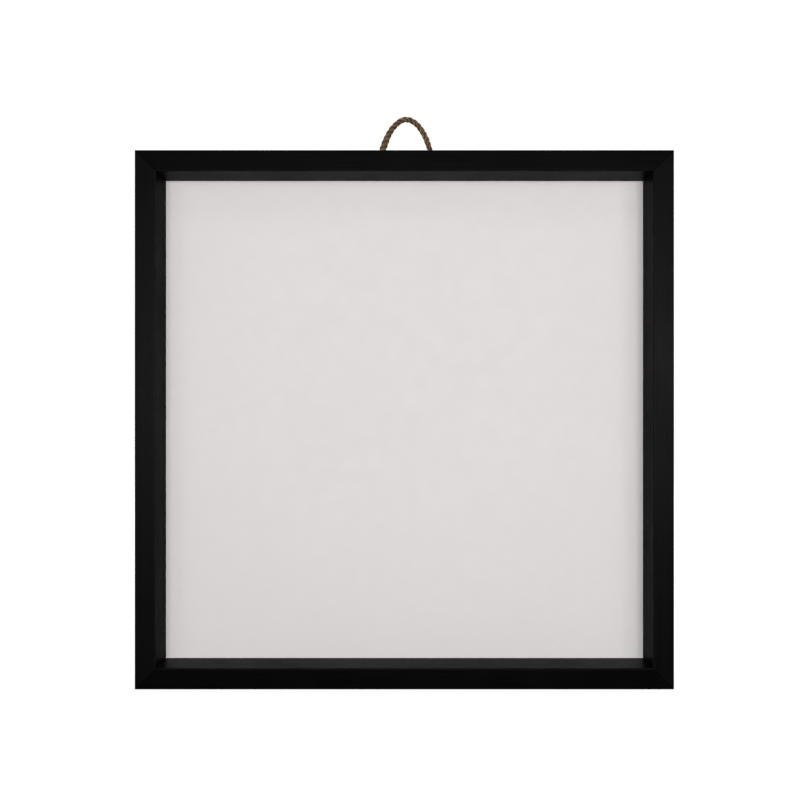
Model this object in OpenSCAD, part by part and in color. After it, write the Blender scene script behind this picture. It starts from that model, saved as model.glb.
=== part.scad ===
// Square shadow box, open at the front: four mitred rails round a white-faced
// back panel, and a loop of jute twine in the top rail to hang it by.
// +Z is up and the front faces -Y. The origin is at the middle of the base.

/* [Frame] */
// Outside width of the frame
frame_w = 305; // [250:1:400]
// Outside height of the frame
frame_h = 305; // [250:1:400]
// Outside depth of the frame, front to back
frame_d = 38; // [38:1:50]
// Width of a rail's front face
rail_face = 12; // [10.5:0.5:20]
// Radius of a rail's eased edges
edge_r = 0.8; // [0.2:0.1:1.5]

/* [Back panel] */
// Depth of the open display space in front of the panel
display_depth = 25; // [12:1:25]
// Thickness of the panel
panel_t = 3; // [2:0.5:3]
// Thickness of the rail wall that runs round the panel
wall_t = 6; // [5:0.5:8]
// Gap between an edge of the panel and the wall
panel_gap = 0.5; // [0.2:0.1:1]

/* [Fasteners] */
// Length of the steel points that hold the panel in
point_l = 15; // [12:0.5:20]
// Width of a point
point_w = 6; // [4:0.5:8]
// Thickness of a point
point_t = 0.5; // [0.3:0.1:0.8]
// How far a point is driven into the wall
point_bite = 4; // [3:0.5:4.5]
// Distance between the points on one side
point_pitch = 90; // [50:5:100]
// Length of each wing of a corner nail
nail_wing = 5; // [4:0.5:6]
// How deep a corner nail goes in from the back
nail_depth = 10; // [6:0.5:12]
// Thickness of a corner nail
nail_t = 0.5; // [0.3:0.1:0.8]
// Distance of a corner nail's bend from the outside faces
nail_inset = 2; // [1.5:0.5:3]

/* [Hanging cord] */
// Diameter of the twine
cord_d = 2.8; // [2:0.1:3]
// Diameter of the holes that the twine goes through
cord_hole_d = 3.2; // [3.1:0.1:4]
// How far the pair of holes is off the middle, to the right
cord_hole_offset = 1; // [-20:1:20]
// Distance of the holes from the back of the frame
cord_hole_from_back = 5; // [4:0.5:5.5]
// Diameter of a stopper knot
knot_d = 7.5; // [6:0.5:8]
// Height of a stopper knot
knot_h = 6; // [5:0.5:7]
// Length of the loose end below a knot
tail_l = 8; // [4:1:20]

/* [Hidden] */
$fn = 48;
SIDES = ["top", "bottom", "left", "right"];
CORNERS = ["top_left", "top_right", "bottom_left", "bottom_right"];
PLACES = [1, 2, 3];
POINTS = [for (side = SIDES, place = PLACES) [side, place]];
function point_name(point) = str("panel_point_", point[0], "_", point[1]);

front_y = -frame_d / 2;
back_y = frame_d / 2;
panel_front_y = front_y + display_depth;
panel_back_y = panel_front_y + panel_t;
cord_y = back_y - cord_hole_from_back;
clear = 1;

// The loop turns about a line just above the top rail, where its legs come out.
cord_sides = 8;
loop_gap = 0.3;
pivot_z = cord_d / 2 + loop_gap;

// Centreline of the loop, from the left hole to the right one: distances to the
// right of the middle of the two holes, towards the back, and above the top rail.
LOOP_ROUTE = [
    [-15, 0, pivot_z],
    [-14.9, 0.1, 3.5],
    [-14.6, 0.2, 6],
    [-14.1, 0.3, 8],
    [-13.5, 0.3, 10],
    [-12.6, 0.3, 12.5],
    [-11.6, 0.2, 15],
    [-10.2, 0, 18],
    [-8.4, -0.2, 20.8],
    [-6.2, -0.4, 23.2],
    [-3.7, -0.5, 25.2],
    [-1, -0.6, 26.3],
    [2, -0.6, 26],
    [4.9, -0.5, 24.6],
    [7.6, -0.3, 22.1],
    [9.9, -0.1, 18.9],
    [11.7, 0, 15.5],
    [13, 0.1, 12],
    [14, 0.2, 9],
    [14.6, 0.2, 6],
    [14.9, 0.1, 3.5],
    [15, 0, pivot_z]
];

// Rounded ends, as [distance past the route's end, share of the radius].
TIP = [[0.96, 0.28], [0.7, 0.71]];

// The loop's two ends, and so the two holes
LEFT = 0;
RIGHT = len(LOOP_ROUTE) - 1;
function cord_x(end) = cord_hole_offset + LOOP_ROUTE[end][0];

function unit(v) = v / norm(v);
function length_along(side) = side == "top" || side == "bottom" ? frame_w : frame_h;

// Direction of the route at point i, straight up and down at its two ends
function heading(route, i) =
    i == 0 ? [0, 0, 1] :
    i == len(route) - 1 ? [0, 0, -1] :
    unit(route[i + 1] - route[i - 1]);

// One ring of the tube round a centre, square to the heading
function ring(centre, along, r) =
    let (across = unit(cross(along, [0, 1, 0])), up = cross(across, along))
    [for (k = [0 : cord_sides - 1])
        let (a = 360 * k / cord_sides)
        centre + r * (cos(a) * across + sin(a) * up)];

function tube_rings(route, r) = concat(
    [for (tip = TIP) ring(route[0] - [0, 0, tip[0] * r], [0, 0, 1], tip[1] * r)],
    [for (i = [0 : len(route) - 1]) ring(route[i], heading(route, i), r)],
    [for (i = [len(TIP) - 1 : -1 : 0])
        ring(route[len(route) - 1] - [0, 0, TIP[i][0] * r], [0, 0, -1], TIP[i][1] * r)]
);

// A closed tube along a route, as one polyhedron
module tube(route, d) {
    rings = tube_rings(route, d / 2);
    n = cord_sides;
    last = len(rings) - 1;
    polyhedron(
        points = [for (one = rings, p = one) p],
        faces = concat(
            [[for (k = [0 : n - 1]) k]],
            [for (i = [0 : last - 1], k = [0 : n - 1])
                let (next = (k + 1) % n)
                [i * n + k, (i + 1) * n + k, (i + 1) * n + next, i * n + next]],
            [[for (k = [n - 1 : -1 : 0]) last * n + k]]
        )
    );
}

// Puts a child made for the bottom side onto any side of the frame.
module on_side(side) {
    if (side == "bottom") children();
    if (side == "top") translate([0, 0, frame_h]) mirror([0, 0, 1]) children();
    if (side == "left") translate([-frame_w / 2, 0, frame_h / 2]) rotate([0, 90, 0]) children();
    if (side == "right") translate([frame_w / 2, 0, frame_h / 2]) rotate([0, -90, 0]) children();
}

module eased_corner() {
    difference() {
        translate([-clear, -clear]) square(edge_r + clear);
        translate([edge_r, edge_r]) circle(edge_r);
    }
}

// Section of a rail: x runs inwards from the outside face, y from front to back.
module rail_section() {
    difference() {
        square([rail_face, frame_d]);
        translate([wall_t, display_depth]) square([rail_face, frame_d]);
        eased_corner();
        translate([rail_face, 0]) mirror([1, 0]) eased_corner();
        translate([0, frame_d]) mirror([0, 1]) eased_corner();
    }
}

// A length of rail on the bottom side, mitred at both ends
module rail_blank(length) {
    intersection() {
        rotate([0, -90, 0])
            translate([0, front_y, -length / 2])
            linear_extrude(length) rail_section();
        rotate([90, 0, 0])
            linear_extrude(frame_d + 2 * clear, center = true)
            polygon([
                [-length / 2, 0],
                [length / 2, 0],
                [length / 2 - rail_face - clear, rail_face + clear],
                [-length / 2 + rail_face + clear, rail_face + clear]
            ]);
    }
}

// A steel point on the bottom side: driven into the wall, flat on the panel
module point_blade(place) {
    tip_w = point_w * 0.45;
    shoulder = 3;
    translate([(place - 2) * point_pitch, panel_back_y + point_t, wall_t - point_bite])
        rotate([90, 0, 0])
        linear_extrude(point_t) {
            polygon([
                [-tip_w / 2, 0],
                [tip_w / 2, 0],
                [point_w / 2, shoulder],
                [point_w / 2, point_l - point_w / 2],
                [-point_w / 2, point_l - point_w / 2],
                [-point_w / 2, shoulder]
            ]);
            translate([0, point_l - point_w / 2]) circle(d = point_w);
        }
}

// A bent nail across the mitre at the bottom left, flush with the back
module nail_blade(width) {
    bend_x = -width / 2 + nail_inset - nail_t / 2;
    bend_z = nail_inset - nail_t / 2;
    translate([bend_x, back_y - nail_depth, bend_z]) {
        cube([nail_wing, nail_depth, nail_t]);
        cube([nail_t, nail_depth, nail_wing]);
    }
}

module cord_holes() {
    for (end = [LEFT, RIGHT])
        translate([cord_x(end), cord_y, frame_h - wall_t - clear])
            cylinder(d = cord_hole_d, h = wall_t + 2 * clear);
}

module rail(side) {
    length = length_along(side);
    color([0.07, 0.07, 0.075])
    difference() {
        on_side(side)
            difference() {
                rail_blank(length);
                for (place = PLACES) point_blade(place);
                nail_blade(length);
                mirror([1, 0, 0]) nail_blade(length);
            }
        if (side == "top") cord_holes();
    }
}

module back_panel() {
    margin = wall_t + panel_gap;
    color([0.87, 0.86, 0.86])
    translate([-frame_w / 2 + margin, panel_front_y, margin])
        cube([frame_w - 2 * margin, panel_t, frame_h - 2 * margin]);
}

module panel_point(point) {
    color([0.6, 0.61, 0.62])
    on_side(point[0]) point_blade(point[1]);
}

module corner_nail(corner) {
    at_right = corner == "top_right" || corner == "bottom_right";
    at_top = corner == "top_left" || corner == "top_right";
    color([0.55, 0.56, 0.57])
    translate([0, 0, at_top ? frame_h : 0])
        mirror([0, 0, at_top ? 1 : 0])
        mirror([at_right ? 1 : 0, 0, 0])
        nail_blade(frame_w);
}

module hanging_loop() {
    color([0.45, 0.38, 0.29])
    translate([cord_hole_offset, cord_y, frame_h]) tube(LOOP_ROUTE, cord_d);
}

// Stretch of twine inside a hole, from the knot to the top of the rail
module cord_end(end) {
    color([0.45, 0.38, 0.29])
    translate([cord_x(end), cord_y, frame_h - wall_t])
        cylinder(d = cord_d, h = wall_t);
}

// Stopper knot under the top rail, with its loose end below it
module knot(end) {
    color([0.45, 0.38, 0.29])
    translate([cord_x(end), cord_y, frame_h - wall_t - knot_h]) {
        rotate_extrude() {
            translate([(knot_d - knot_h) / 2, knot_h / 2])
                intersection() {
                    circle(d = knot_h);
                    translate([0, -knot_h / 2]) square(knot_h);
                }
            square([(knot_d - knot_h) / 2, knot_h]);
        }
        translate([0, 0, -tail_l]) cylinder(d = cord_d, h = tail_l + knot_h / 2);
    }
}

for (side = SIDES)
    rail(side);
back_panel();
for (point = POINTS)
    panel_point(point);
for (corner = CORNERS)
    corner_nail(corner);
hanging_loop();
cord_end(LEFT);  // cord_end_left
cord_end(RIGHT);  // cord_end_right
knot(LEFT);  // knot_left
knot(RIGHT);  // knot_right
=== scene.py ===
"""Square shadow box, open at the front: black mitred rails, a white-faced back panel held by
steel points, and a loop of jute twine to hang it by.

Metres. +Z is up, the front faces -Y, and the middle of the base is at the origin.
"""

import math
import random

import bmesh
import bpy
from bpy.props import FloatProperty, FloatVectorProperty, IntProperty, PointerProperty
from mathutils import Matrix, Vector, noise


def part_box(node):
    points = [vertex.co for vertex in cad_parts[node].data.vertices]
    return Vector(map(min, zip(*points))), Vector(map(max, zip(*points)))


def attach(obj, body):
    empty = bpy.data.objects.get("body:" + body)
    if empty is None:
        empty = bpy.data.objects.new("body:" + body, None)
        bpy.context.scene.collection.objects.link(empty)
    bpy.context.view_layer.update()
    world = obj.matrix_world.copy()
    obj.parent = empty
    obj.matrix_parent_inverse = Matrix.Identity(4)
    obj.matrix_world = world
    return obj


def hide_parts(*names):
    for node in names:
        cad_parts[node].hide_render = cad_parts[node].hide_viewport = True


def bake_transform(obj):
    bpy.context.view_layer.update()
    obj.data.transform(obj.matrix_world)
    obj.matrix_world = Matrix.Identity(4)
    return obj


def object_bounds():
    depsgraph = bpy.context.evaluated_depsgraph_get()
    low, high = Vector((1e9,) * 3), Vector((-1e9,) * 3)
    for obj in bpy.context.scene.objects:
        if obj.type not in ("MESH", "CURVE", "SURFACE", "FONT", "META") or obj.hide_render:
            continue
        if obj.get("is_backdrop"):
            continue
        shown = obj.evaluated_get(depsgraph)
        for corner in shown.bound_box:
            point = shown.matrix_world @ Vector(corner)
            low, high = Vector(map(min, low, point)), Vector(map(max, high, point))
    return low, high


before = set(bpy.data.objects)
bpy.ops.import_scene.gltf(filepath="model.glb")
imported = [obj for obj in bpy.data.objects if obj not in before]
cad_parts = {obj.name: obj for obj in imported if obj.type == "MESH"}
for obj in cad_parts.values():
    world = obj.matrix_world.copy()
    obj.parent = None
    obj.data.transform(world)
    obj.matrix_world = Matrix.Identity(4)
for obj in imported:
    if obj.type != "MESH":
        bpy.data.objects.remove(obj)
CAD_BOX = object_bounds()

bl_info = {
    "name": "Shadow Box",
    "version": (1, 0, 0),
    "blender": (4, 5, 0),
    "location": "View3D > Sidebar > Shadow Box",
    "description": "Builds an open-fronted shadow box with mitred rails and a twine loop",
    "category": "Add Mesh",
}

# ---------------------------------------------------------------- the frame's own sizes

BOX = "box"
SIDES = ("top", "bottom", "left", "right")
CORNERS = ("top_left", "top_right", "bottom_left", "bottom_right")
PLACES = (1, 2, 3)

LOW_CORNER = Vector(map(min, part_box("bottom_rail")[0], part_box("left_rail")[0]))
HIGH_CORNER = Vector(map(max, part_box("top_rail")[1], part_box("right_rail")[1]))
WIDTH, DEPTH, HEIGHT = HIGH_CORNER - LOW_CORNER
FRONT_Y = LOW_CORNER.y
BACK_Y = HIGH_CORNER.y
RAIL_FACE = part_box("bottom_rail")[1].z
PANEL_LOW, PANEL_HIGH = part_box("back_panel")
HOLE_LOW, HOLE_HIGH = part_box("cord_end_left")
WALL = HOLE_HIGH.z - HOLE_LOW.z
TWINE_D = HOLE_HIGH.x - HOLE_LOW.x


def hole_mouth(side):
    """Where a cord hole comes out of the top face."""
    low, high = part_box("cord_end_" + side)
    return Vector(((low.x + high.x) / 2, (low.y + high.y) / 2, HEIGHT))


HOLE_LEFT = hole_mouth("left")
HOLE_RIGHT = hole_mouth("right")
HOLES_MIDDLE = (HOLE_LEFT + HOLE_RIGHT) / 2
# The drill for the cord holes, a little wider than the twine
HOLE_R = 0.0016

# Centreline of the loop from the left hole to the right one: to the right of the middle of
# the holes, towards the back, and above the top rail.
LOOP_ROUTE = (
    (-0.0150, 0.0000, 0.0017),
    (-0.0149, 0.0001, 0.0035),
    (-0.0146, 0.0002, 0.0060),
    (-0.0141, 0.0003, 0.0080),
    (-0.0135, 0.0003, 0.0100),
    (-0.0126, 0.0003, 0.0125),
    (-0.0116, 0.0002, 0.0150),
    (-0.0102, 0.0000, 0.0180),
    (-0.0084, -0.0002, 0.0208),
    (-0.0062, -0.0004, 0.0232),
    (-0.0037, -0.0005, 0.0252),
    (-0.0010, -0.0006, 0.0263),
    (0.0020, -0.0006, 0.0260),
    (0.0049, -0.0005, 0.0246),
    (0.0076, -0.0003, 0.0221),
    (0.0099, -0.0001, 0.0189),
    (0.0117, 0.0000, 0.0155),
    (0.0130, 0.0001, 0.0120),
    (0.0140, 0.0002, 0.0090),
    (0.0146, 0.0002, 0.0060),
    (0.0149, 0.0001, 0.0035),
    (0.0150, 0.0000, 0.0017),
)

# Centreline of a stopper knot, from the hole down to the loose end: to the right, towards
# the back, and above the knot's middle.
KNOT_ROUTE = (
    (0.0000, 0.0000, 0.0040),
    (0.0000, -0.0009, 0.0018),
    (0.0010, -0.0013, -0.0004),
    (0.0013, 0.0002, -0.0019),
    (-0.0002, 0.0017, -0.0019),
    (-0.0020, 0.0015, -0.0004),
    (-0.0022, 0.0001, 0.0012),
    (-0.0009, -0.0016, 0.0019),
    (0.0012, -0.0018, 0.0014),
    (0.0024, -0.0002, 0.0005),
    (0.0017, 0.0017, -0.0001),
    (0.0001, 0.0021, 0.0008),
    (-0.0008, 0.0010, 0.0002),
    (-0.0005, 0.0002, -0.0018),
    (-0.0001, 0.0001, -0.0036),
    (0.0002, 0.0000, -0.0060),
    (-0.0002, 0.0003, -0.0085),
    (0.0003, 0.0004, -0.0108),
)


# ---------------------------------------------------------------- settings

class ShadowBoxRails(bpy.types.PropertyGroup):
    edge_radius: FloatProperty(
        name="Eased edge", description="Radius of the rails' long front edges",
        default=0.0008, min=0.0002, max=0.002, subtype="DISTANCE", unit="LENGTH")
    mitre_groove: FloatProperty(
        name="Mitre groove", description="How far the edges of a mitre are rubbed back",
        default=0.00014, min=0.0, max=0.0005, subtype="DISTANCE", unit="LENGTH")
    hole_easing: FloatProperty(
        name="Hole easing", description="How far the mouth of a cord hole is opened out",
        default=0.0003, min=0.0, max=0.001, subtype="DISTANCE", unit="LENGTH")
    paint: FloatVectorProperty(
        name="Paint", description="Colour of the black paint",
        default=(0.0012, 0.00125, 0.0013), size=3, subtype="COLOR", min=0.0, max=1.0)
    # Colour of the painted highlight along the rails' inner front edges
    worn: FloatVectorProperty(
        name="Painted highlight", description="Colour painted along the inner front edges as a highlight",
        default=(0.0085, 0.0085, 0.0088), size=3, subtype="COLOR", min=0.0, max=1.0)
    bare_wood: FloatVectorProperty(
        name="Bare wood", description="Colour of the unpainted wood at the back",
        default=(0.50, 0.33, 0.18), size=3, subtype="COLOR", min=0.0, max=1.0)


class ShadowBoxPanel(bpy.types.PropertyGroup):
    waviness: FloatProperty(
        name="Waviness", description="How far the thin board bows in and out",
        default=0.00006, min=0.0, max=0.0005, subtype="DISTANCE", unit="LENGTH")
    face: FloatVectorProperty(
        name="White face", description="Colour of the panel's painted front",
        default=(0.737, 0.701, 0.697), size=3, subtype="COLOR", min=0.0, max=1.0)
    board: FloatVectorProperty(
        name="Hardboard", description="Colour of the bare board at the back",
        default=(0.24, 0.135, 0.065), size=3, subtype="COLOR", min=0.0, max=1.0)
    screen_pitch: FloatProperty(
        name="Screen pitch", description="Spacing of the wire mesh pressed into the back",
        default=0.0013, min=0.0005, max=0.005, subtype="DISTANCE", unit="LENGTH")


class ShadowBoxSteel(bpy.types.PropertyGroup):
    lift: FloatProperty(
        name="Lift", description="How far a point's free end stands off the panel",
        default=0.0007, min=0.0, max=0.003, subtype="DISTANCE", unit="LENGTH")
    bright: FloatVectorProperty(
        name="Points", description="Colour of the panel points' steel",
        default=(0.33, 0.335, 0.345), size=3, subtype="COLOR", min=0.0, max=1.0)
    hardened: FloatVectorProperty(
        name="Corner nails", description="Colour of the corner nails' steel",
        default=(0.34, 0.35, 0.37), size=3, subtype="COLOR", min=0.0, max=1.0)


class ShadowBoxTwine(bpy.types.PropertyGroup):
    ply_count: IntProperty(
        name="Plies", description="Number of plies twisted together", default=3, min=2, max=4)
    lay: FloatProperty(
        name="Lay radius", description="How far the middle of a ply is from the twine's core",
        default=0.00074, min=0.0003, max=0.002, subtype="DISTANCE", unit="LENGTH")
    ply_radius: FloatProperty(
        name="Ply radius", description="Radius of one ply",
        default=0.00086, min=0.0003, max=0.002, subtype="DISTANCE", unit="LENGTH")
    pitch: FloatProperty(
        name="Twist pitch", description="Length of twine in which a ply goes once round",
        default=0.0094, min=0.004, max=0.03, subtype="DISTANCE", unit="LENGTH")
    loose_fibres: IntProperty(
        name="Loose fibres", description="Number of fibres that stand off the loop",
        default=90, min=0, max=2000)
    frayed_fibres: IntProperty(
        name="Frayed fibres", description="Number of loose fibres at each frayed end",
        default=46, min=0, max=500)
    dark: FloatVectorProperty(
        name="Dark fibre", description="Darkest colour of the jute",
        default=(0.020, 0.011, 0.004), size=3, subtype="COLOR", min=0.0, max=1.0)
    middle: FloatVectorProperty(
        name="Middle fibre", description="Usual colour of the jute",
        default=(0.165, 0.100, 0.042), size=3, subtype="COLOR", min=0.0, max=1.0)
    light: FloatVectorProperty(
        name="Light fibre", description="Lightest colour of the jute",
        default=(0.46, 0.37, 0.25), size=3, subtype="COLOR", min=0.0, max=1.0)


class ShadowBoxStage(bpy.types.PropertyGroup):
    distance: FloatProperty(
        name="Camera distance", description="From the camera to the front of the box",
        default=0.580, min=0.2, max=5.0, subtype="DISTANCE", unit="LENGTH")
    height: FloatProperty(
        name="Camera height", description="Height of the camera above the base",
        default=0.1563, min=0.0, max=2.0, subtype="DISTANCE", unit="LENGTH")
    front_light: FloatProperty(
        name="Front light", description="Power of the long softbox behind the camera",
        default=28.3, min=0.0, max=500.0, subtype="POWER", unit="POWER")
    left_light: FloatProperty(
        name="Left light", description="Power of the softbox in front, to the left",
        default=1.9, min=0.0, max=500.0, subtype="POWER", unit="POWER")
    right_light: FloatProperty(
        name="Right light",
        description="Power of the softbox in front, to the right; the high one has half of it",
        default=3.1, min=0.0, max=500.0, subtype="POWER", unit="POWER")
    side_light: FloatProperty(
        name="Side lights", description="Power of each of the lights that graze the sides",
        default=5.0, min=0.0, max=500.0, subtype="POWER", unit="POWER")
    top_light: FloatProperty(
        name="Top light", description="Power of the light above",
        default=10.0, min=0.0, max=500.0, subtype="POWER", unit="POWER")
    back_light: FloatProperty(
        name="Back light", description="Power of the light behind the box",
        default=20.0, min=0.0, max=500.0, subtype="POWER", unit="POWER")
    floor_glow: FloatProperty(
        name="Floor glow", description="How far the floor is lifted towards white in view",
        default=0.94, min=0.0, max=2.0)
    room: FloatProperty(
        name="Room light", description="Strength of the even light from the room",
        default=0.02, min=0.0, max=5.0)


# ---------------------------------------------------------------- node helpers

def add(tree, kind, inputs=None, **settings):
    """A new shader node. An input is a socket to link from, or a plain value."""
    node = tree.nodes.new("ShaderNode" + kind)
    for name, value in settings.items():
        setattr(node, name, value)
    for key, value in (inputs or {}).items():
        if isinstance(value, bpy.types.NodeSocket):
            tree.links.new(value, node.inputs[key])
        else:
            node.inputs[key].default_value = value
    return node


def calc(tree, operation, a, b=0.0):
    return add(tree, "Math", {0: a, 1: b}, operation=operation).outputs[0]


def mix(tree, factor, a, b):
    """Mixes two colours. The Mix node's colour sockets are its inputs 6 and 7 and output 2."""
    return add(tree, "Mix", {0: factor, 6: a, 7: b}, data_type="RGBA").outputs[2]


def between(tree, value, low, high, to_low=0.0, to_high=1.0):
    """Takes low..high smoothly to to_low..to_high, and holds it there outside."""
    inputs = {0: value, 1: low, 2: high, 3: to_low, 4: to_high}
    return add(tree, "MapRange", inputs, interpolation_type="SMOOTHSTEP").outputs[0]


def cloud(tree, vector, scale, detail=4.0, roughness=0.55):
    inputs = {"Vector": vector, "Scale": scale, "Detail": detail, "Roughness": roughness}
    return add(tree, "TexNoise", inputs).outputs[0]


def stretched(tree, vector, scale, turn=(0.0, 0.0, 0.0)):
    return add(tree, "Mapping", {"Vector": vector, "Scale": scale, "Rotation": turn}).outputs[0]


def opaque(colour):
    return (*colour, 1.0)


def scaled(colour, k):
    return (*(min(1.0, c * k) for c in colour), 1.0)


def new_group(name, ins, outs):
    """A shader node group, with its inside ends. A socket is (type, name) or, with a default,
    (type, name, default)."""
    tree = bpy.data.node_groups.new(name, "ShaderNodeTree")
    for kind, label, *default in ins:
        socket = tree.interface.new_socket(label, in_out="INPUT", socket_type="NodeSocket" + kind)
        if default:
            socket.default_value = default[0]
    for kind, label in outs:
        tree.interface.new_socket(label, in_out="OUTPUT", socket_type="NodeSocket" + kind)
    return tree, tree.nodes.new("NodeGroupInput").outputs, tree.nodes.new("NodeGroupOutput").inputs


def use_group(tree, name, inputs):
    return add(tree, "Group", inputs, node_tree=NODE_GROUPS[name]()).outputs


def once(make):
    """Keeps what a no-argument function made the first time."""
    kept = []

    def get():
        if not kept:
            kept.append(make())
        return kept[0]
    return get


@once
def wood_grain_group():
    """Long streaks and short open pores, running along the vector's X."""
    tree, given, put = new_group(
        "Wood grain",
        [("Vector", "Vector"), ("Float", "Scale", 1.0)],
        [("Float", "Streaks"), ("Float", "Pores")])
    along = add(tree, "VectorMath", {0: given["Vector"], "Scale": given["Scale"]},
                operation="SCALE").outputs[0]
    broad = cloud(tree, stretched(tree, along, (4.0, 30.0, 30.0)), 1.0, 2.0)
    wide = cloud(tree, stretched(tree, along, (9.0, 421.68, 421.68)), 1.0, 5.0, 0.6)
    fine = cloud(tree, stretched(tree, along, (40.0, 2600.0, 2600.0)), 1.0, 3.0, 0.6)
    streaks = calc(tree, "ADD", calc(tree, "MULTIPLY", wide, 0.6), calc(tree, "MULTIPLY", fine, 0.4))
    streaks = calc(tree, "ADD", streaks, calc(tree, "MULTIPLY", broad, 0.1))
    tree.links.new(between(tree, streaks, 0.38, 0.72), put["Streaks"])
    short = cloud(tree, stretched(tree, along, (260.0, 3800.0, 3800.0)), 1.0, 1.0)
    tree.links.new(between(tree, short, 0.66, 0.74), put["Pores"])
    return tree


@once
def speck_group():
    """A few tiny specks of dust on the paint."""
    tree, given, put = new_group(
        "Specks",
        [("Vector", "Vector"), ("Float", "Spacing", 0.02), ("Float", "Size", 0.0003)],
        [("Float", "Mask")])
    cells = add(tree, "TexVoronoi", {
        "Vector": given["Vector"],
        "Scale": calc(tree, "DIVIDE", 1.0, given["Spacing"]),
        "Randomness": 1.0,
    }, feature="F1")
    reach = calc(tree, "MULTIPLY", cells.outputs["Distance"], given["Spacing"])
    dot = calc(tree, "LESS_THAN", reach, given["Size"])
    chosen = add(tree, "SeparateColor", {0: cells.outputs["Color"]}).outputs[0]
    rare = calc(tree, "GREATER_THAN", chosen, 0.55)
    tree.links.new(calc(tree, "MULTIPLY", dot, rare), put["Mask"])
    return tree


@once
def steel_marks_group():
    """Fine rolling lines and dull stains on sheet steel."""
    tree, given, put = new_group(
        "Steel marks", [("Vector", "Vector")], [("Float", "Lines"), ("Float", "Stains")])
    lines = cloud(tree, stretched(tree, given["Vector"], (300.0, 6000.0, 9000.0)), 1.0, 4.0)
    stains = cloud(tree, given["Vector"], 420.0, 5.0, 0.65)
    tree.links.new(between(tree, lines, 0.35, 0.7), put["Lines"])
    tree.links.new(between(tree, stains, 0.5, 0.75), put["Stains"])
    return tree


@once
def jute_group():
    """Bundles of plant fibre, running along the vector's Z."""
    tree, given, put = new_group(
        "Jute fibre",
        [("Vector", "Vector"), ("Color", "Dark"), ("Color", "Middle"), ("Color", "Light")],
        [("Color", "Color"), ("Float", "Height")])
    bundles = cloud(tree, stretched(tree, given["Vector"], (2600.0, 2600.0, 260.0)), 1.0, 4.0, 0.6)
    threads = cloud(tree, stretched(tree, given["Vector"], (9000.0, 9000.0, 420.0)), 1.0, 3.0, 0.6)
    tint = cloud(tree, stretched(tree, given["Vector"], (700.0, 700.0, 150.0)), 1.0, 3.0)
    value = calc(tree, "ADD", calc(tree, "MULTIPLY", bundles, 0.55),
                 calc(tree, "MULTIPLY", threads, 0.45))
    low = mix(tree, between(tree, value, 0.38, 0.53), given["Dark"], given["Middle"])
    whole = mix(tree, between(tree, value, 0.53, 0.68), low, given["Light"])
    grey = mix(tree, 0.35, whole, opaque((0.19, 0.16, 0.125)))
    tree.links.new(mix(tree, between(tree, tint, 0.45, 0.7), whole, grey), put["Color"])
    tree.links.new(value, put["Height"])
    return tree


NODE_GROUPS = {
    "grain": wood_grain_group,
    "specks": speck_group,
    "steel": steel_marks_group,
    "jute": jute_group,
}


# ---------------------------------------------------------------- materials

def new_material(name):
    """A material's tree, its Principled BSDF's inputs, and the piece's own coordinates."""
    material = bpy.data.materials.new(name)
    material.use_nodes = True
    tree = material.node_tree
    shader = tree.nodes["Principled BSDF"]
    place = add(tree, "TexCoord").outputs["Object"]
    return material, tree, shader.inputs, place


def set_bump(tree, shader, height, distance, strength=1.0):
    bump = add(tree, "Bump", {"Height": height, "Distance": distance, "Strength": strength})
    tree.links.new(bump.outputs[0], shader["Normal"])


def grain_direction(side):
    """Turns the piece's coordinates so that X runs along that side's rail."""
    return (0.0, math.radians(90), 0.0) if side in ("left", "right") else (0.0, 0.0, 0.0)


def beyond_outline(tree, place):
    """How far a place is outside the frame's outline, seen from the front, and less than
    nothing inside it; and how far back it is."""
    split = add(tree, "SeparateXYZ", {0: place}).outputs
    upright = calc(tree, "ABSOLUTE", calc(tree, "SUBTRACT", split["Z"], HEIGHT / 2))
    beyond_side = calc(tree, "SUBTRACT", calc(tree, "ABSOLUTE", split["X"]), WIDTH / 2)
    beyond_end = calc(tree, "SUBTRACT", upright, HEIGHT / 2)
    return calc(tree, "MAXIMUM", beyond_side, beyond_end), split["Y"]


def arris_highlight(tree, place):
    """A painted highlight: where a lighter line is painted along the rails' inner front edges, in uneven
    stretches.
    """
    beyond, back = beyond_outline(tree, place)
    arris = between(tree, beyond, 0.0003 - RAIL_FACE, 0.0008 - RAIL_FACE, 1.0, 0.0)
    at_front = between(tree, back, FRONT_Y + 0.0006, FRONT_Y + 0.0012, 1.0, 0.0)
    uneven = between(tree, cloud(tree, place, 90.0, 4.0), 0.3, 0.6, 0.4, 1.0)
    return calc(tree, "MULTIPLY", calc(tree, "MULTIPLY", arris, at_front), uneven)


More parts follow.
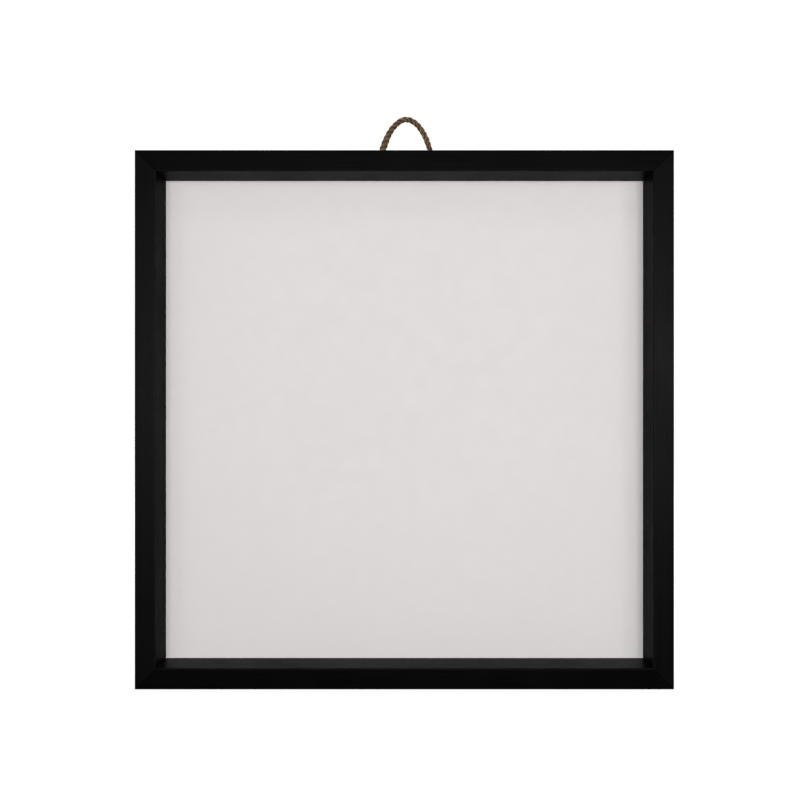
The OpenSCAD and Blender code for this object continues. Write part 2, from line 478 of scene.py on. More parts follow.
def black_paint(side, part, roughness, gloss):
    settings = bpy.context.scene.shadow_box_rails
    material, tree, shader, place = new_material(f"black paint, {part} of {side} rail")
    along = stretched(tree, place, (1.0, 1.0, 1.0), grain_direction(side))
    grain = use_group(tree, "grain", {"Vector": along, "Scale": 1.0})
    specks = use_group(tree, "specks", {"Vector": place, "Spacing": 0.035, "Size": 0.00028})
    patches = cloud(tree, place, 35.0, 4.0)
    paint = mix(tree, grain["Streaks"], scaled(settings.paint, 0.7), scaled(settings.paint, 1.5))
    paint = mix(tree, between(tree, patches, 0.4, 0.7, 0.0, 0.5), paint, scaled(settings.paint, 1.8))
    paint = mix(tree, calc(tree, "MULTIPLY", specks["Mask"], 0.5), paint, opaque((0.12, 0.12, 0.12)))
    # painted highlight: lighter paint along the rails' inner front edges
    paint = mix(tree, arris_highlight(tree, place), paint, opaque(settings.worn))
    tree.links.new(paint, shader["Base Color"])
    rough = calc(tree, "ADD", between(tree, patches, 0.3, 0.7, roughness - 0.03, roughness + 0.03),
                 calc(tree, "MULTIPLY", grain["Streaks"], 0.06))
    tree.links.new(rough, shader["Roughness"])
    shader["Specular IOR Level"].default_value = gloss
    depth = calc(tree, "SUBTRACT", grain["Streaks"], calc(tree, "MULTIPLY", grain["Pores"], 0.8))
    set_bump(tree, shader, depth, 0.00003, 0.6)
    return material


def bare_wood(side):
    """Unpainted wood with a little black paint carried round its outer edge."""
    settings = bpy.context.scene.shadow_box_rails
    material, tree, shader, place = new_material("bare wood, " + side + " rail")
    along = stretched(tree, place, (1.0, 1.0, 1.0), grain_direction(side))
    grain = use_group(tree, "grain", {"Vector": along, "Scale": 0.8})
    wood = mix(tree, grain["Streaks"], scaled(settings.bare_wood, 0.62), scaled(settings.bare_wood, 1.12))
    wood = mix(tree, calc(tree, "MULTIPLY", grain["Pores"], 0.5), wood, scaled(settings.bare_wood, 0.4))
    beyond, back = beyond_outline(tree, place)
    ragged = calc(tree, "ADD", beyond,
                  calc(tree, "MULTIPLY", cloud(tree, along, 260.0, 5.0, 0.7), 0.0042))
    at_back = between(tree, back, BACK_Y - 0.0008, BACK_Y - 0.0001)
    over = calc(tree, "MULTIPLY", between(tree, ragged, 0.0001, 0.0009), at_back)
    tree.links.new(mix(tree, over, wood, opaque(settings.paint)), shader["Base Color"])
    rough = calc(tree, "SUBTRACT", 0.75, calc(tree, "MULTIPLY", over, 0.25))
    tree.links.new(rough, shader["Roughness"])
    shader["Specular IOR Level"].default_value = 0.3
    set_bump(tree, shader, grain["Streaks"], 0.00008, 0.8)
    return material


def white_face():
    settings = bpy.context.scene.shadow_box_panel
    material, tree, shader, place = new_material("white panel face")
    broad = cloud(tree, place, 9.0, 3.0)
    mottle = cloud(tree, place, 140.0, 5.0, 0.6)
    specks = use_group(tree, "specks", {"Vector": place, "Spacing": 0.05, "Size": 0.0003})
    colour = mix(tree, between(tree, broad, 0.3, 0.7), scaled(settings.face, 0.985), opaque(settings.face))
    colour = mix(tree, between(tree, mottle, 0.35, 0.65, 0.0, 0.5), colour, scaled(settings.face, 0.975))
    colour = mix(tree, calc(tree, "MULTIPLY", specks["Mask"], 0.16), colour, opaque((0.35, 0.34, 0.33)))
    tree.links.new(colour, shader["Base Color"])
    tree.links.new(between(tree, mottle, 0.3, 0.7, 0.52, 0.62), shader["Roughness"])
    peel = cloud(tree, place, 900.0, 2.0, 0.5)
    set_bump(tree, shader, peel, 0.00003, 0.35)
    return material


def hardboard():
    settings = bpy.context.scene.shadow_box_panel
    material, tree, shader, place = new_material("bare hardboard")
    flecks = cloud(tree, place, 1400.0, 4.0, 0.7)
    broad = cloud(tree, place, 40.0, 4.0)
    split = add(tree, "SeparateXYZ", {0: place}).outputs
    turns = 2 * math.pi / settings.screen_pitch
    rows = calc(tree, "SINE", calc(tree, "MULTIPLY", split["X"], turns))
    columns = calc(tree, "SINE", calc(tree, "MULTIPLY", split["Z"], turns))
    screen = calc(tree, "MULTIPLY", rows, columns)
    flecked = between(tree, flecks, 0.35, 0.7)
    colour = mix(tree, flecked, scaled(settings.board, 0.6), scaled(settings.board, 1.35))
    colour = mix(tree, between(tree, broad, 0.35, 0.7, 0.0, 0.6), colour, scaled(settings.board, 0.8))
    colour = mix(tree, between(tree, screen, -1.0, 0.2, 0.35, 0.0), colour, scaled(settings.board, 0.45))
    tree.links.new(colour, shader["Base Color"])
    tree.links.new(between(tree, flecks, 0.3, 0.7, 0.62, 0.8), shader["Roughness"])
    set_bump(tree, shader, calc(tree, "ADD", screen, flecks), 0.00008, 0.8)
    return material


def sheet_steel(name, colour, roughness):
    material, tree, shader, place = new_material(name)
    marks = use_group(tree, "steel", {"Vector": place})
    tone = mix(tree, marks["Lines"], scaled(colour, 0.8), opaque(colour))
    tone = mix(tree, calc(tree, "MULTIPLY", marks["Stains"], 0.4), tone, scaled(colour, 0.5))
    tree.links.new(tone, shader["Base Color"])
    shader["Metallic"].default_value = 1.0
    rough = calc(tree, "ADD", roughness, calc(tree, "MULTIPLY", marks["Stains"], 0.15))
    tree.links.new(rough, shader["Roughness"])
    set_bump(tree, shader, marks["Lines"], 0.00001, 0.5)
    return material


@once
def jute():
    settings = bpy.context.scene.shadow_box_twine
    material, tree, shader, _ = new_material("jute twine")
    inside = add(tree, "Attribute", attribute_name="ply_space").outputs["Vector"]
    proud = add(tree, "Attribute", attribute_name="proud").outputs["Fac"]
    fibre = use_group(tree, "jute", {
        "Vector": inside,
        "Dark": opaque(settings.dark),
        "Middle": opaque(settings.middle),
        "Light": opaque(settings.light),
    })
    # painted shade: the grooves between the plies are darkened where the twine is less proud
    groove = between(tree, proud, 0.68, 0.94, 1.0, 0.0)
    colour = mix(tree, groove, fibre["Color"], scaled(settings.dark, 0.35))
    tree.links.new(colour, shader["Base Color"])
    shader["Roughness"].default_value = 0.85
    shader["Specular IOR Level"].default_value = 0.2
    set_bump(tree, shader, fibre["Height"], 0.00022, 0.9)
    return material


@once
def jute_hair():
    settings = bpy.context.scene.shadow_box_twine
    material, tree, shader, _ = new_material("loose jute fibre")
    inside = add(tree, "Attribute", attribute_name="ply_space").outputs["Vector"]
    fibre = use_group(tree, "jute", {
        "Vector": inside,
        "Dark": opaque(settings.middle),
        "Middle": scaled(settings.light, 0.8),
        "Light": scaled(settings.light, 1.2),
    })
    tree.links.new(fibre["Color"], shader["Base Color"])
    shader["Roughness"].default_value = 0.7
    return material


# ---------------------------------------------------------------- mesh helpers

def make_object(name, bm, *materials):
    mesh = bpy.data.meshes.new(name)
    bm.to_mesh(mesh)
    bm.free()
    for material in materials:
        mesh.materials.append(material)
    piece = bpy.data.objects.new(name, mesh)
    bpy.context.scene.collection.objects.link(piece)
    return piece


def extrude(bm, face, vec):
    """Draws a face out into a solid."""
    made = bmesh.ops.extrude_face_region(bm, geom=[face])["geom"]
    far = [v for v in made if isinstance(v, bmesh.types.BMVert)]
    bmesh.ops.translate(bm, verts=far, vec=vec)


def ease(bm, edges, offset, segments):
    """Rounds edges over, or chamfers them if there is one segment."""
    bmesh.ops.bevel(bm, geom=edges, offset=offset, segments=segments,
                    profile=0.5, affect="EDGES", material=-1)


def sharp_edges(bm, degrees):
    """Edges where the faces meet at more than that angle."""
    return [e for e in bm.edges if e.calc_face_angle(0.0) > math.radians(degrees)]


def shade(piece):
    """Smooth faces, kept sharp where they meet at more than 35 degrees."""
    piece.data.shade_smooth()
    piece.data.set_sharp_from_angle(angle=math.radians(35))
    piece.modifiers.new("Even normals", "WEIGHTED_NORMAL").keep_sharp = True


def place_on(piece, body, slot, *stands_for):
    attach(piece, body)
    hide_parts(*stands_for)


def cut_away(piece, cutter):
    """Takes the cutter's shape out of the piece, and removes the cutter."""
    cut = piece.modifiers.new("Cut", "BOOLEAN")
    cut.object = cutter
    cut.operation = "DIFFERENCE"
    cut.solver = "EXACT"
    graph = bpy.context.evaluated_depsgraph_get()
    result = bpy.data.meshes.new_from_object(piece.evaluated_get(graph))
    piece.modifiers.remove(cut)
    old = piece.data
    piece.data = result
    result.name = piece.name
    bpy.data.meshes.remove(old)
    bpy.data.objects.remove(cutter)


def side_matrix(side):
    """Takes what was made for the middle of the bottom side to any side."""
    turn = {"bottom": 0, "left": 90, "top": 180, "right": -90}[side]
    middle = {
        "bottom": (0, 0, 0),
        "top": (0, 0, HEIGHT),
        "left": (-WIDTH / 2, 0, HEIGHT / 2),
        "right": (WIDTH / 2, 0, HEIGHT / 2),
    }[side]
    return Matrix.Translation(middle) @ Matrix.Rotation(math.radians(turn), 4, "Y")


# ---------------------------------------------------------------- rails

# Places of a rail's finishes among its materials
OUTSIDE = 0
INSIDE = 1
BARE = 2
# Thickness of a corner nail's steel
NAIL_T = 0.0005


def rail_blank(length, settings):
    """A square-ended length of rail on the bottom side, with its long edges eased."""
    outline = (
        (FRONT_Y, 0.0),
        (FRONT_Y, RAIL_FACE),
        (PANEL_LOW.y, RAIL_FACE),
        (PANEL_LOW.y, WALL),
        (BACK_Y, WALL),
        (BACK_Y, 0.0),
    )
    bm = bmesh.new()
    end = bm.faces.new([bm.verts.new((-length / 2, y, z)) for y, z in outline])
    extrude(bm, end, (length, 0, 0))
    eased = (outline[0], outline[1], outline[5])
    long_edges = [
        e for e in bm.edges
        if e.calc_length() > length / 2
        and any((e.verts[0].co.yz - Vector(at)).length < 1e-6 for at in eased)
    ]
    ease(bm, long_edges, settings.edge_radius, 5)
    return bm


def mitre(bm, length, groove):
    """Cuts both ends at 45 degrees and rubs back the edges of the cuts."""
    for end in (-1, 1):
        cut = bmesh.ops.bisect_plane(
            bm, geom=bm.verts[:] + bm.edges[:] + bm.faces[:], dist=1e-7,
            plane_co=(end * length / 2, 0, 0), plane_no=(end, 0, 1), clear_outer=True)
        rim = [e for e in cut["geom_cut"] if isinstance(e, bmesh.types.BMEdge)]
        bmesh.ops.contextual_create(bm, geom=rim)
    bmesh.ops.recalc_face_normals(bm, faces=bm.faces[:])
    rims = {e for f in bm.faces if abs(f.normal.x) > 0.6 for e in f.edges}
    ease(bm, list(rims), groove, 1)


def mark_finishes(bm):
    """The front and the outside are satin, the inner wall is duller, and the back, the
    rebate and the mitres were never painted."""
    for face in bm.faces:
        behind = face.calc_center_median().y > PANEL_LOW.y + 1e-5
        faces_in = face.normal.z > 0.99
        mitred = abs(face.normal.x) > 0.6 and face.normal.z > 0.6
        if face.normal.y > 0.9 or mitred or (behind and faces_in):
            face.material_index = BARE
        elif faces_in:
            face.material_index = INSIDE
        else:
            face.material_index = OUTSIDE


def bare_cutter(bm):
    """Turns a cutter's faces outwards. It leaves bare wood where it cuts."""
    bmesh.ops.recalc_face_normals(bm, faces=bm.faces[:])
    for face in bm.faces:
        face.material_index = BARE
    return bm


def hole_cutter(centre, easing):
    """A drill for a cord hole, wider at the top face and where it comes out below."""
    reach = 0.002
    outline = (
        (0.0, reach),
        (HOLE_R + easing + reach, reach),
        (HOLE_R, -easing),
        (HOLE_R, easing - WALL),
        (HOLE_R + easing + reach, -WALL - reach),
        (0.0, -WALL - reach),
    )
    bm = bmesh.new()
    verts = [bm.verts.new((x, 0, z)) for x, z in outline]
    edges = [bm.edges.new(pair) for pair in zip(verts, verts[1:])]
    bmesh.ops.spin(bm, geom=verts + edges, cent=(0, 0, 0), axis=(0, 0, 1),
                   angle=2 * math.pi, steps=40, use_merge=True)
    bmesh.ops.remove_doubles(bm, verts=bm.verts[:], dist=1e-7)
    bmesh.ops.translate(bm, verts=bm.verts[:], vec=centre)
    return bare_cutter(bm)


def nail_pocket(corner):
    """Room for a corner nail: its own shape, a hair wider, open at the back."""
    low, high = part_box("corner_nail_" + corner)
    gap = 0.00008
    wing = high.x - low.x + gap
    thick = NAIL_T + gap
    outline = ((-gap, -gap), (wing, -gap), (wing, thick), (thick, thick), (thick, wing), (-gap, wing))
    from_left = "left" in corner
    from_below = "bottom" in corner
    bm = bmesh.new()
    front = bm.faces.new([
        bm.verts.new((
            low.x + x if from_left else high.x - x,
            low.y - gap,
            low.z + z if from_below else high.z - z))
        for x, z in outline])
    extrude(bm, front, (0, 2 * (high.y - low.y), 0))
    return bare_cutter(bm)


# Gloss of the paint outside and inside each rail
GLOSS = {
    "top": (0.019, 0.010),
    "bottom": (0.013, 0.0130),
    "left": (0.034, 0.0045),
    "right": (0.031, 0.0057),
}


class SHADOWBOX_OT_rails(bpy.types.Operator):
    """Make the four mitred rails"""

    bl_idname = "shadow_box.rails"
    bl_label = "Rails"

    def execute(self, context):
        settings = context.scene.shadow_box_rails
        for side in SIDES:
            length = WIDTH if side in ("top", "bottom") else HEIGHT
            bm = rail_blank(length, settings)
            mitre(bm, length, settings.mitre_groove)
            mark_finishes(bm)
            bmesh.ops.transform(bm, matrix=side_matrix(side), verts=bm.verts[:])
            outside, inside = GLOSS[side]
            finishes = (
                black_paint(side, "outside", 0.33, outside),
                black_paint(side, "inside", 0.38, inside),
                bare_wood(side),
            )
            rail = make_object(side + "_rail_wood", bm, *finishes)
            cutters = [nail_pocket(corner) for corner in CORNERS if side in corner]
            if side == "top":
                cutters += [hole_cutter(at, settings.hole_easing) for at in (HOLE_LEFT, HOLE_RIGHT)]
            for cutter in cutters:
                cut_away(rail, make_object("cutter", cutter, *finishes))
            shade(rail)
            place_on(rail, BOX, "black_paint", side + "_rail")
        return {"FINISHED"}


# ---------------------------------------------------------------- back panel

class SHADOWBOX_OT_back_panel(bpy.types.Operator):
    """Make the white-faced hardboard panel"""

    bl_idname = "shadow_box.back_panel"
    bl_label = "Back panel"

    def execute(self, context):
        settings = context.scene.shadow_box_panel
        size = PANEL_HIGH - PANEL_LOW
        middle = (PANEL_LOW + PANEL_HIGH) / 2
        bm = bmesh.new()
        bmesh.ops.create_cube(bm, size=1.0, matrix=Matrix.LocRotScale(middle, None, size))
        long_edges = [e for e in bm.edges if e.calc_length() > 2 * size.y]
        bmesh.ops.subdivide_edges(bm, edges=long_edges, cuts=23, use_grid_fill=True)
        for vert in bm.verts:
            inset = min(size.x / 2 - abs(vert.co.x - middle.x), size.z / 2 - abs(vert.co.z - middle.z))
            free = min(1.0, inset / 0.03)
            vert.co.y += settings.waviness * free * noise.noise(vert.co * 14)
        ease(bm, sharp_edges(bm, 60), 0.0003, 2)
        bmesh.ops.recalc_face_normals(bm, faces=bm.faces[:])
        for face in bm.faces:
            face.material_index = 0 if face.normal.y < -0.5 else 1
        panel = make_object("white_back_panel", bm, white_face(), hardboard())
        shade(panel)
        place_on(panel, BOX, "white_board", "back_panel")
        return {"FINISHED"}


# ---------------------------------------------------------------- steel

def point_blade(width, thickness, length, lift):
    """A thin steel point, its driven end at -Z and its round end, bent up a little, at +Z."""
    bm = bmesh.new()
    size = Vector((width, thickness, length))
    bmesh.ops.create_cube(bm, size=1.0, matrix=Matrix.LocRotScale(None, None, size))

    def corner_edges(end):
        return [e for e in bm.edges if all(v.co.z * end > length * 0.49 for v in e.verts)
                and abs(e.verts[0].co.y - e.verts[1].co.y) > thickness / 2]

    ease(bm, corner_edges(1), width * 0.495, 9)
    ease(bm, corner_edges(-1), width * 0.3, 1)
    bends = 12
    for i in range(1, bends):
        bmesh.ops.bisect_plane(
            bm, geom=bm.verts[:] + bm.edges[:] + bm.faces[:], dist=1e-7,
            plane_co=(0, 0, length * (i / bends - 0.5)), plane_no=(0, 0, 1))
    ease(bm, sharp_edges(bm, 50), thickness * 0.16, 2)
    for vert in bm.verts:
        share = max(0.0, vert.co.z / (length / 2) + 0.2) / 1.2
        vert.co.y += lift * share * share
    bmesh.ops.recalc_face_normals(bm, faces=bm.faces[:])
    return bm


class SHADOWBOX_OT_panel_points(bpy.types.Operator):
    """Make the flat steel points that hold the panel in"""

    bl_idname = "shadow_box.panel_points"
    bl_label = "Panel points"

    def execute(self, context):
        settings = context.scene.shadow_box_steel
        steel = sheet_steel("bright sheet steel", settings.bright, 0.45)
        rng = random.Random(12)
        for side in SIDES:
            turn = side_matrix(side).to_3x3().to_4x4()
            for place in PLACES:
                node = f"panel_point_{side}_{place}"
                low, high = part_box(node)
                size = high - low
                width, length = sorted((size.x, size.z))
                bm = point_blade(width, size.y, length, settings.lift * rng.uniform(0.4, 1.2))
                askew = Matrix.Rotation(math.radians(rng.uniform(-4, 4)), 4, "Y")
                matrix = Matrix.Translation((low + high) / 2) @ turn @ askew
                bmesh.ops.transform(bm, matrix=matrix, verts=bm.verts[:])
                point = make_object("steel_" + node, bm, steel)
                shade(point)
                place_on(point, BOX, "point_steel", node)
        return {"FINISHED"}


class SHADOWBOX_OT_corner_nails(bpy.types.Operator):
    """Finish the bent nails across the mitres"""

    bl_idname = "shadow_box.corner_nails"
    bl_label = "Corner nails"

    def execute(self, context):
        steel = sheet_steel("hardened steel strip", context.scene.shadow_box_steel.hardened, 0.4)
        for corner in CORNERS:
            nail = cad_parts["corner_nail_" + corner]
            nail.data.materials.clear()
            nail.data.materials.append(steel)
        return {"FINISHED"}


# ---------------------------------------------------------------- twine

# Length of one step along the twine
TWINE_STEP = 0.00034
# Loose fibres stand off the loop only above this height.
FIBRES_ABOVE = HEIGHT + 0.0075
# How far the twine goes down into a knot below the rail's underside
INTO_KNOT = 0.0006
# Size of the twine inside a hole, what it gains once it is clear of the hole, and what its
# left leg gains besides, all as shares of the size in the settings
PINCHED = 0.86
SWELLING = 0.20
FULLER = 0.24
# Length of twine over which it swells
SWELLS_OVER = 0.003
# Where the left leg is fullest and how far that spreads, as shares of the twine's length
FULLEST_AT = 0.24
FULLER_OVER = 0.13
# How far the middle of a knot is below the underside of the rail
KNOT_DROP = 0.0034
# Size of the tightly pulled twine in a knot, as a share of the size in the settings
KNOT_TWINE = 0.78
# Length of the frayed end, in which the plies spread apart
FRAYED = 0.005


def smooth_line(route, step):
    """Points a step apart along a smooth curve through the route's points."""
    route = [Vector(p) for p in route]
    padded = [2 * route[0] - route[1], *route, 2 * route[-1] - route[-2]]
    fine = []
    parts = 24
    for a, b, c, d in zip(padded, padded[1:], padded[2:], padded[3:]):
        for i in range(parts):
            t = i / parts
            fine.append(0.5 * (2 * b + (c - a) * t + (2 * a - 5 * b + 4 * c - d) * t ** 2
                               + (3 * b - a - 3 * c + d) * t ** 3))
    fine.append(route[-1])
    line = [fine[0]]
    for p in fine:
        while (p - line[-1]).length >= step:
            line.append(line[-1] + (p - line[-1]).normalized() * step)
    line.append(route[-1])
    return line


def distances(line):
    """How far along the line each of its points is."""
    along = [0.0]
    for a, b in zip(line, line[1:]):
        along.append(along[-1] + (b - a).length)
    return along


def frames_along(line):
    """A matrix at each point, its Z along the line, that turns as little as it can."""
    last = len(line) - 1
    side = None
    frames = []
    for i, at in enumerate(line):
        ahead = (line[min(i + 1, last)] - line[max(i - 1, 0)]).normalized()
        if side is None:
            side = ahead.orthogonal()
        side = (side - ahead * side.dot(ahead)).normalized()
        up = ahead.cross(side)
        frames.append(Matrix((side, up, ahead)).transposed().to_4x4())
        frames[-1].translation = at
    return frames


def ply_line(frames, along, turn_at, radius_at):
    """The middle of one ply that winds round the line."""
    line = []
    for at, gone in zip(frames, along):
        angle = turn_at(gone)
        radius = radius_at(gone)
        line.append(at @ Vector((radius * math.cos(angle), radius * math.sin(angle), 0)))
    return line


def add_tube(bm, line, radius_at, sides, seed, fibre_twist=0.0, lumps=0.0, proud_at=None):
    """A closed tube along a line: a grid rolled up round it. Each point keeps where it is
    inside the ply, so that the fibres' pattern follows the twine, and how proud it stands:
    1 out at the twine's surface, less down in the grooves between its plies."""
    layers = bm.verts.layers
    space = layers.float_vector.get("ply_space") or layers.float_vector.new("ply_space")
    depth = layers.float.get("proud") or layers.float.new("proud")
    frames = frames_along(line)
    last = len(line) - 1
    along = distances(line)
    grid = bmesh.ops.create_grid(bm, x_segments=sides, y_segments=last, size=1.0)["verts"]
    rows = [[None] * (sides + 1) for _ in line]
    for vert in grid:
        rows[round((vert.co.y + 1) / 2 * last)][round((vert.co.x + 1) / 2 * sides)] = vert
    for i, row in enumerate(rows):
        gone = along[i]
        radius = radius_at(gone)
        for k, vert in enumerate(row):
            turn = 2 * math.pi * (k % sides) / sides
            inner = turn + fibre_twist * gone
            inside = Vector((math.cos(inner), math.sin(inner), 0)) * radius
            vert[space] = inside + Vector((seed * 0.01, 0, gone))
            where = Vector((inside.x * 1800, inside.y * 1800, gone * 350 + seed * 7))
            bump = 1 + lumps * noise.noise(where)
            vert.co = frames[i] @ (Vector((math.cos(turn), math.sin(turn), 0)) * radius * bump)
            vert[depth] = proud_at(i, vert.co) if proud_at else 1.0
    bmesh.ops.weld_verts(bm, targetmap={row[sides]: row[0] for row in rows})
    open_ends = {e for row in (rows[0], rows[-1]) for v in row[:sides] for e in v.link_edges}
    bmesh.ops.holes_fill(bm, edges=[e for e in open_ends if e.is_boundary], sides=0)


def add_twine(bm, line, settings, seed, size_at, spread_at=lambda s: 1.0):
    """Plies twisted together round the line."""
    frames = frames_along(line)
    along = distances(line)
    for k in range(settings.ply_count):
        start = 2 * math.pi * k / settings.ply_count

        def turn_at(s, start=start):
            return start + 2 * math.pi * s / settings.pitch

        def radius_at(s, k=k):
            uneven = 1 + 0.06 * noise.noise(Vector((s * 300, k, seed)))
            return settings.lay * size_at(s) * spread_at(s) * uneven

        def thickness_at(s, k=k):
            uneven = 1 + 0.08 * noise.noise(Vector((s * 420, k + 5, seed)))
            return settings.ply_radius * size_at(s) * uneven

        def proud_at(i, point):
            surface = (settings.lay * spread_at(along[i]) + settings.ply_radius) * size_at(along[i])
            return (point - line[i]).length / surface

        ply = ply_line(frames, along, turn_at, radius_at)
        add_tube(bm, ply, thickness_at, sides=14, seed=seed + k, fibre_twist=-900.0, lumps=0.09,
                 proud_at=proud_at)


def add_loose_fibre(bm, root, heading, length, rng, seed):
    """One thin fibre that curls off the twine from its root."""
    curl = Vector((rng.uniform(-1, 1), rng.uniform(-0.15, 0.15), rng.uniform(-1, 1)))
    line = [root]
    steps = 6
    for i in range(steps):
        heading = (heading + 0.35 * curl / steps).normalized()
        line.append(line[-1] + heading * length / steps)
    thick = rng.uniform(0.000022, 0.00004)
    add_tube(bm, line, lambda s: thick * max(0.3, 1 - 0.7 * s / length), sides=3, seed=seed)


def loose_fibres(places, count):
    """Short fibres that stand off the twine at places taken at random."""
    rng = random.Random(7)
    level = Vector((0, 1, 0))
    bm = bmesh.new()
    for i in range(count):
        at, size = rng.choice(places)
        ahead = at.col[2].xyz
        outward = ahead.cross(level).normalized() * rng.choice((-1, 1))
        outward = (outward + level * rng.uniform(-0.7, 0.7)).normalized()
        root = at.translation + outward * TWINE_D * 0.46 * size
        lean = ahead * rng.choice((-1, 1)) * rng.uniform(0.6, 2.2)
        heading = (Vector((outward.x, outward.y * 0.2, outward.z)) + lean).normalized()
        add_loose_fibre(bm, root, heading, rng.uniform(0.0008, 0.0024), rng, i)
    bmesh.ops.recalc_face_normals(bm, faces=bm.faces[:])
    return bm


def twine_line():
    """From just inside the left knot, up through its hole, round the loop and down again."""
    low = -WALL - INTO_KNOT
    (left_x, left_y, _), (right_x, right_y, _) = LOOP_ROUTE[0], LOOP_ROUTE[-1]
    route = [
        (left_x, left_y, low),
        (left_x, left_y, low / 2),
        *LOOP_ROUTE,
        (right_x, right_y, low / 2),
        (right_x, right_y, low),
    ]
    return smooth_line([HOLES_MIDDLE + Vector(p) for p in route], TWINE_STEP)


class SHADOWBOX_OT_twine(bpy.types.Operator):
    """Make the twisted twine loop and its loose fibres"""

    bl_idname = "shadow_box.twine"
    bl_label = "Twine loop"

    def execute(self, context):
        settings = context.scene.shadow_box_twine
        line = twine_line()
        along = distances(line)
        whole = along[-1]

        def size_at(s):
            """The holes pinch the twine, and its left leg is fuller than the rest."""
            past_hole = min(1.0, max(0.0, (min(s, whole - s) - WALL) / SWELLS_OVER))
            fuller = math.exp(-((s / whole - FULLEST_AT) / FULLER_OVER) ** 2)
            return PINCHED + past_hole * (SWELLING + FULLER * fuller)

        bm = bmesh.new()
        add_twine(bm, line, settings, 1, size_at)
        bmesh.ops.recalc_face_normals(bm, faces=bm.faces[:])
        twine = make_object("twine_loop", bm, jute())
        twine.data.shade_smooth()

        frames = frames_along(line)
        places = [(f, size_at(s)) for f, s in zip(frames, along) if f.translation.z > FIBRES_ABOVE]
        bm = loose_fibres(places, settings.loose_fibres)
        fibres = make_object("loop_loose_fibres", bm, jute_hair())
        fibres.data.shade_smooth()

        for piece in (twine, fibres):
            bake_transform(piece)
        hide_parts("hanging_loop", "cord_end_left", "cord_end_right")
        return {"FINISHED"}


class SHADOWBOX_OT_knots(bpy.types.Operator):
    """Make the stopper knots and their frayed ends"""

    bl_idname = "shadow_box.knots"
    bl_label = "Stopper knots"

    def execute(self, context):
        settings = context.scene.shadow_box_twine
        for seed, (side, hole) in enumerate((("left", HOLE_LEFT), ("right", HOLE_RIGHT)), 20):
            flip = 1 if side == "left" else -1
            middle = hole - Vector((0, 0, WALL + KNOT_DROP))
            route = [middle + Vector((p[0] * flip, p[1], p[2])) for p in KNOT_ROUTE]
            line = smooth_line(route, TWINE_STEP)
            whole = distances(line)[-1]

            def spread_at(s, whole=whole):
                return 1 + max(0.0, (s - whole + FRAYED) / FRAYED) ** 1.5

            bm = bmesh.new()
            add_twine(bm, line, settings, seed * 3, lambda s: KNOT_TWINE, spread_at)
            rng = random.Random(seed)
            end = line[-1]
            for i in range(settings.frayed_fibres):
                aside = Vector((rng.uniform(-1, 1), rng.uniform(-1, 1), 0)) * 0.0012
                root = end + aside + Vector((0, 0, rng.uniform(0.0004, 0.003)))
                heading = Vector((aside.x * 420, aside.y * 420, -1)).normalized()
                add_loose_fibre(bm, root, heading, rng.uniform(0.0015, 0.004), rng, i)
            bmesh.ops.recalc_face_normals(bm, faces=bm.faces[:])
            knot = make_object(side + "_stopper_knot", bm, jute())
            knot.data.shade_smooth()
            place_on(knot, BOX, "jute", "knot_" + side)
        return {"FINISHED"}


# ---------------------------------------------------------------- stage

WHITE = (1.0, 1.0, 1.0)
COOL_WHITE = (0.90, 0.97, 1.0)
# Brightness of the backdrop in view, just past white
BACKDROP = 1.05


def pale_floor(glow):
    """A floor that the camera sees nearly white, and wholly white away from the box."""
    material, tree, shader, place = new_material("pale floor")
    soft = cloud(tree, place, 0.8, 2.0)
    tone = mix(tree, soft, opaque((0.18, 0.18, 0.18)), opaque((0.22, 0.22, 0.22)))
    tree.links.new(tone, shader["Base Color"])
    shader["Roughness"].default_value = 0.9
    shader["Specular IOR Level"].default_value = 0.0
    shader["Emission Color"].default_value = opaque(WHITE)
    seen = add(tree, "LightPath").outputs["Is Camera Ray"]
    away = add(tree, "VectorMath", {0: place}, operation="LENGTH").outputs["Value"]
    lit = calc(tree, "MULTIPLY", seen, between(tree, away, 0.2, 1.2, glow, BACKDROP))
    tree.links.new(lit, shader["Emission Strength"])
    return material


def white_room(strength):
    """Even light of that strength from all round, and a white backdrop for the camera."""
    world = bpy.data.worlds.new("studio")
    world.use_nodes = True
    tree = world.node_tree
    tree.nodes.clear()
    seen = add(tree, "LightPath").outputs["Is Camera Ray"]
    room = add(tree, "Background", {"Color": opaque(WHITE), "Strength": strength})
    backdrop = add(tree, "Background", {"Color": opaque(WHITE), "Strength": BACKDROP})
    both = add(tree, "MixShader", {0: seen, 1: room.outputs[0], 2: backdrop.outputs[0]})
    add(tree, "OutputWorld", {"Surface": both.outputs[0]})
    return world


def area_light(name, location, size, power, colour):
    """A soft light turned towards the middle of the box."""
    data = bpy.data.lights.new(name, "AREA")
    data.shape = "RECTANGLE"
    data.size, data.size_y = size
    data.energy = power
    data.color = colour
    light = bpy.data.objects.new(name, data)
    light.location = location
    towards = Vector((0.0, 0.0, HEIGHT / 2)) - light.location
    light.rotation_euler = towards.to_track_quat("-Z", "Y").to_euler()
    bpy.context.scene.collection.objects.link(light)


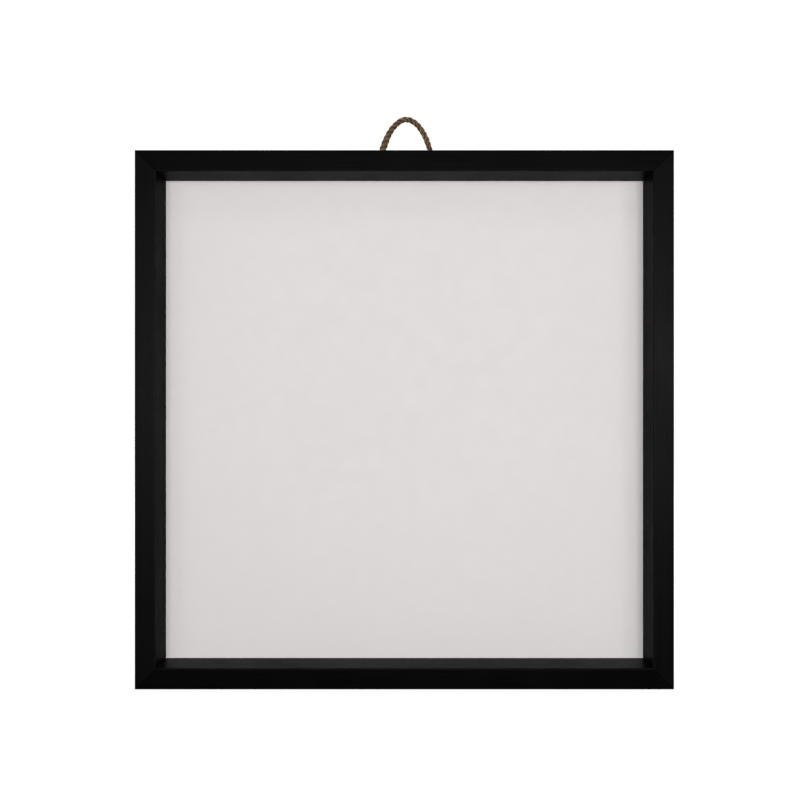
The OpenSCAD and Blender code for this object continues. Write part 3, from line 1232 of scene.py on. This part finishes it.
class SHADOWBOX_OT_stage(bpy.types.Operator):
    """Make the floor, the lights and the camera"""

    bl_idname = "shadow_box.stage"
    bl_label = "Stage"

    def execute(self, context):
        scene = context.scene
        settings = scene.shadow_box_stage
        scene.view_settings.view_transform = "Standard"
        bm = bmesh.new()
        bmesh.ops.create_circle(bm, cap_ends=True, segments=96, radius=6.0)
        make_object("floor", bm, pale_floor(settings.floor_glow))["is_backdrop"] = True
        scene.world = white_room(settings.room)

        for name, place, size, power, colour in (
            ("front softbox", (0.05, -2.0, 0.26), (1.0, 0.25), settings.front_light, WHITE),
            ("left softbox", (-0.75, -1.45, 0.35), (0.4, 0.6), settings.left_light, COOL_WHITE),
            ("right softbox", (0.75, -1.45, 0.35), (0.4, 0.6), settings.right_light, WHITE),
            ("high softbox", (0.0, -1.2, 1.3), (0.8, 0.5), settings.right_light / 2, WHITE),
            ("left side softbox", (-1.5, 0.35, 0.5), (0.8, 1.0), settings.side_light, WHITE),
            ("right side softbox", (1.5, 0.35, 0.5), (0.8, 1.0), settings.side_light, WHITE),
            ("top softbox", (0.0, 0.3, 1.5), (1.2, 0.6), settings.top_light, WHITE),
            ("back softbox", (0.4, 1.5, 0.8), (1.2, 1.0), settings.back_light, WHITE),
        ):
            area_light(name, place, size, power, colour)

        data = bpy.data.cameras.new("camera")
        data.sensor_width = 36.0
        data.lens = 46.2
        data.shift_x = -0.0088
        data.shift_y = 0.0163
        data.clip_start = 0.01
        camera = bpy.data.objects.new("camera", data)
        camera.location = (0.0015, FRONT_Y - settings.distance, settings.height)
        camera.rotation_euler = (math.radians(90), 0.0, 0.0)
        scene.collection.objects.link(camera)
        scene.camera = camera
        return {"FINISHED"}


# ---------------------------------------------------------------- add-on

SETTINGS = {
    "shadow_box_rails": ShadowBoxRails,
    "shadow_box_panel": ShadowBoxPanel,
    "shadow_box_steel": ShadowBoxSteel,
    "shadow_box_twine": ShadowBoxTwine,
    "shadow_box_stage": ShadowBoxStage,
}

OPERATORS = (
    SHADOWBOX_OT_stage,
    SHADOWBOX_OT_twine,
    SHADOWBOX_OT_knots,
    SHADOWBOX_OT_rails,
    SHADOWBOX_OT_back_panel,
    SHADOWBOX_OT_panel_points,
    SHADOWBOX_OT_corner_nails,
)


class SHADOWBOX_PT_sidebar(bpy.types.Panel):
    bl_label = "Shadow Box"
    bl_idname = "SHADOWBOX_PT_sidebar"
    bl_space_type = "VIEW_3D"
    bl_region_type = "UI"
    bl_category = "Shadow Box"

    def draw(self, context):
        for operator in OPERATORS:
            self.layout.operator(operator.bl_idname)
        for name in SETTINGS:
            group = getattr(context.scene, name)
            column = self.layout.box().column()
            for key in group.__annotations__:
                column.prop(group, key)


CLASSES = (*SETTINGS.values(), *OPERATORS, SHADOWBOX_PT_sidebar)


def register():
    for cls in CLASSES:
        bpy.utils.register_class(cls)
    for name, cls in SETTINGS.items():
        setattr(bpy.types.Scene, name, PointerProperty(type=cls))


def unregister():
    for name in SETTINGS:
        delattr(bpy.types.Scene, name)
    for cls in reversed(CLASSES):
        bpy.utils.unregister_class(cls)


def main():
    register()
    bpy.ops.shadow_box.stage()
    bpy.ops.shadow_box.twine()
    bpy.ops.shadow_box.knots()
    bpy.ops.shadow_box.rails()
    bpy.ops.shadow_box.back_panel()
    bpy.ops.shadow_box.panel_points()
    bpy.ops.shadow_box.corner_nails()
    boxes = {"cad": CAD_BOX, "visual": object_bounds()}
    {name: [list(corner) for corner in box] for name, box in boxes.items()}


if __name__ == "__main__":
    main()
